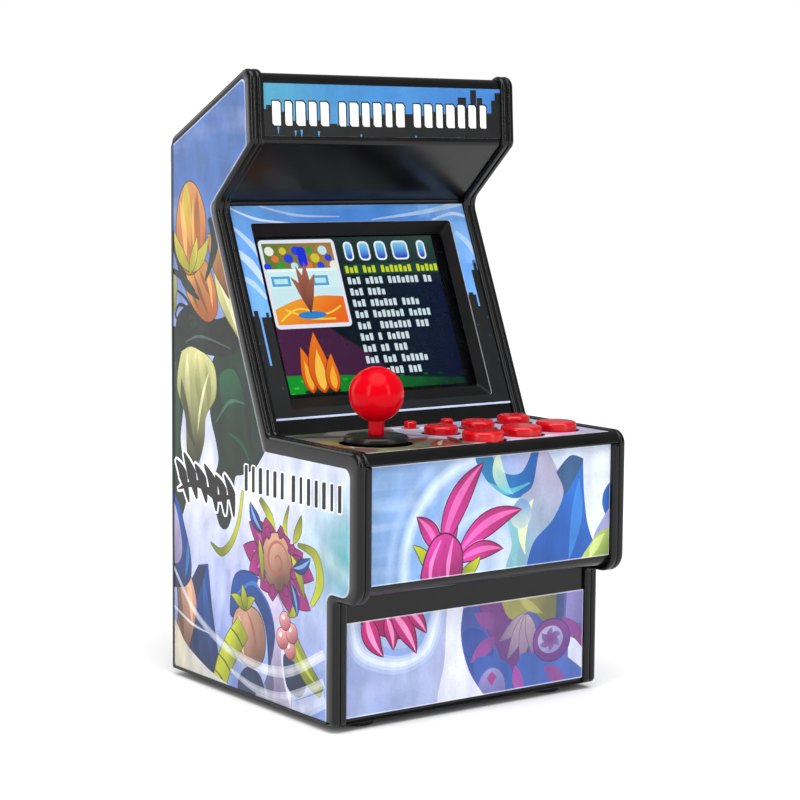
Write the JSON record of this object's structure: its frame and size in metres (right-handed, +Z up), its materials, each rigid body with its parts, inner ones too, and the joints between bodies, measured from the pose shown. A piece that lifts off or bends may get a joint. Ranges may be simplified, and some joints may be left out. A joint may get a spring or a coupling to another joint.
{
  "type": "miniature arcade cabinet",
  "caption": "Palm-sized arcade cabinet with printed panels, hooded marquee, recessed display, ball-top joystick, eight push buttons and a hinged battery door at the back.",
  "frame": {"origin": "on the table, under the centre of the bounding box", "axes": "+Z up, the player stands at -Y, +X to the right as seen by the player"},
  "size_m": [0.083, 0.086, 0.1591],
  "materials": {
    "black_case": "satin moulded ABS with fine texture",
    "black_bezel": "matte moulded ABS",
    "screen_lens": "clear polished acrylic",
    "display": "backlit liquid crystal display",
    "sheet_steel": "plated pressed steel",
    "circuit_board": "glass-fibre board with green solder mask",
    "flex_circuit": "amber polyimide film",
    "silicone": "translucent grey silicone",
    "inner_plastic": "plain moulded ABS",
    "white_plastic": "moulded acetal",
    "red_plastic": "glossy moulded ABS",
    "gloss_black": "polished moulded ABS",
    "control_black": "moulded acetal",
    "side_print": null,
    "marquee_print": "laminated printed vinyl, blue sky over a black skyline",
    "screen_print": "laminated printed vinyl, blue sky over a dark skyline",
    "deck_print": "laminated printed vinyl, pale lavender with warm streaks",
    "front_print": null,
    "base_print": "laminated printed vinyl, pale lavender blue",
    "battery_sleeve": "shrink sleeve on a steel can",
    "speaker_metal": "pressed steel basket with a ferrite magnet",
    "speaker_paper": "pressed paper cone",
    "rubber_foot": "moulded rubber",
    "screw_steel": "zinc plated screws",
    "wire_sleeve": "PVC insulated lead"
  },
  "bodies": {
    "cabinet": {"left_side_panel": "black_case", "right_side_panel": "black_case", "base_front": "black_case", "control_box": "black_case", "control_deck": "black_case", "screen_frame": "black_case", "marquee_hood": "black_case", "rear_cover": "black_case", "base_plate": "black_case", "screen_bezel": "black_bezel", "screen_lens": "screen_lens", "lcd_panel": "display", "lcd_backlight": "sheet_steel", "main_board": "circuit_board", "display_ribbon": "flex_circuit", "button_board": "circuit_board", "button_mat": "silicone", "joystick_housing": "inner_plastic", "joystick_spring": "sheet_steel", "side_label_left": "side_print", "side_label_right": "side_print", "marquee_label": "marquee_print", "screen_label": "screen_print", "deck_label": "deck_print", "control_label": "front_print", "base_label": "base_print", "io_board": "circuit_board", "switch_body": "sheet_steel", "volume_body": "inner_plastic", "av_jack": "inner_plastic", "usb_socket": "sheet_steel", "battery_box": "inner_plastic", "battery_1": "battery_sleeve", "battery_2": "battery_sleeve", "battery_3": "battery_sleeve", "battery_contacts": "sheet_steel", "speaker_basket": "speaker_metal", "speaker_cone": "speaker_paper", "foot_front_left": "rubber_foot", "foot_front_right": "rubber_foot", "foot_rear_left": "rubber_foot", "foot_rear_right": "rubber_foot", "case_screws": "screw_steel", "board_screws": "screw_steel", "inner_wires": "wire_sleeve"},
    "yoke": {"joystick_yoke": "white_plastic"},
    "stick": {"joystick_shaft": "red_plastic", "joystick_disc": "gloss_black", "joystick_ball": "red_plastic"},
    "power_slider": {"switch_knob": "control_black"},
    "volume_dial": {"volume_wheel": "control_black"},
    "rear_door": {"battery_door": "black_case"},
    "front_button_1_cap": {"front_button_1": "red_plastic"},
    "front_button_2_cap": {"front_button_2": "red_plastic"},
    "front_button_3_cap": {"front_button_3": "red_plastic"},
    "rear_button_1_cap": {"rear_button_1": "red_plastic"},
    "rear_button_2_cap": {"rear_button_2": "red_plastic"},
    "rear_button_3_cap": {"rear_button_3": "red_plastic"},
    "start_button_cap": {"start_button": "red_plastic"},
    "select_button_cap": {"select_button": "red_plastic"}
  },
  "joints": [
    {"name": "joystick_forward", "type": "hinge", "parent": "cabinet", "child": "yoke", "pos_m": [-0.025, -0.0265, 0.0625], "axis": [1, 0, 0], "range_deg": [-6, 6], "stiffness_Nm_per_rad": 0.02, "deforming": ["joystick_spring"]},
    {"name": "joystick_side", "type": "hinge", "parent": "yoke", "child": "stick", "pos_m": [-0.025, -0.0265, 0.0625], "axis": [0, 1, 0], "range_deg": [-6, 6], "stiffness_Nm_per_rad": 0.02, "deforming": ["joystick_spring"]},
    {"name": "front_button_1_press", "type": "slide", "parent": "cabinet", "child": "front_button_1_cap", "axis": [0, 0, -1], "range_m": [0, 0.001], "stiffness_N_per_m": 150, "springref_m": -0.002, "deforming": ["button_mat"]},
    {"name": "front_button_2_press", "type": "slide", "parent": "cabinet", "child": "front_button_2_cap", "axis": [0, 0, -1], "range_m": [0, 0.001], "stiffness_N_per_m": 150, "springref_m": -0.002, "deforming": ["button_mat"]},
    {"name": "front_button_3_press", "type": "slide", "parent": "cabinet", "child": "front_button_3_cap", "axis": [0, 0, -1], "range_m": [0, 0.001], "stiffness_N_per_m": 150, "springref_m": -0.002, "deforming": ["button_mat"]},
    {"name": "rear_button_1_press", "type": "slide", "parent": "cabinet", "child": "rear_button_1_cap", "axis": [0, 0, -1], "range_m": [0, 0.001], "stiffness_N_per_m": 150, "springref_m": -0.002, "deforming": ["button_mat"]},
    {"name": "rear_button_2_press", "type": "slide", "parent": "cabinet", "child": "rear_button_2_cap", "axis": [0, 0, -1], "range_m": [0, 0.001], "stiffness_N_per_m": 150, "springref_m": -0.002, "deforming": ["button_mat"]},
    {"name": "rear_button_3_press", "type": "slide", "parent": "cabinet", "child": "rear_button_3_cap", "axis": [0, 0, -1], "range_m": [0, 0.001], "stiffness_N_per_m": 150, "springref_m": -0.002, "deforming": ["button_mat"]},
    {"name": "start_button_press", "type": "slide", "parent": "cabinet", "child": "start_button_cap", "axis": [0, 0, -1], "range_m": [0, 0.001], "stiffness_N_per_m": 150, "springref_m": -0.002, "deforming": ["button_mat"]},
    {"name": "select_button_press", "type": "slide", "parent": "cabinet", "child": "select_button_cap", "axis": [0, 0, -1], "range_m": [0, 0.001], "stiffness_N_per_m": 150, "springref_m": -0.002, "deforming": ["button_mat"]},
    {"name": "power_slide", "type": "slide", "parent": "cabinet", "child": "power_slider", "axis": [1, 0, 0], "range_m": [0, 0.0026]},
    {"name": "volume_turn", "type": "hinge", "parent": "cabinet", "child": "volume_dial", "pos_m": [-0.018, 0.0376, 0.077], "axis": [1, 0, 0], "range_deg": [0, 270]},
    {"name": "battery_door_open", "type": "hinge", "parent": "cabinet", "child": "rear_door", "pos_m": [0, 0.0421, 0.0107], "axis": [-1, 0, 0], "range_deg": [0, 80]}
  ]
}
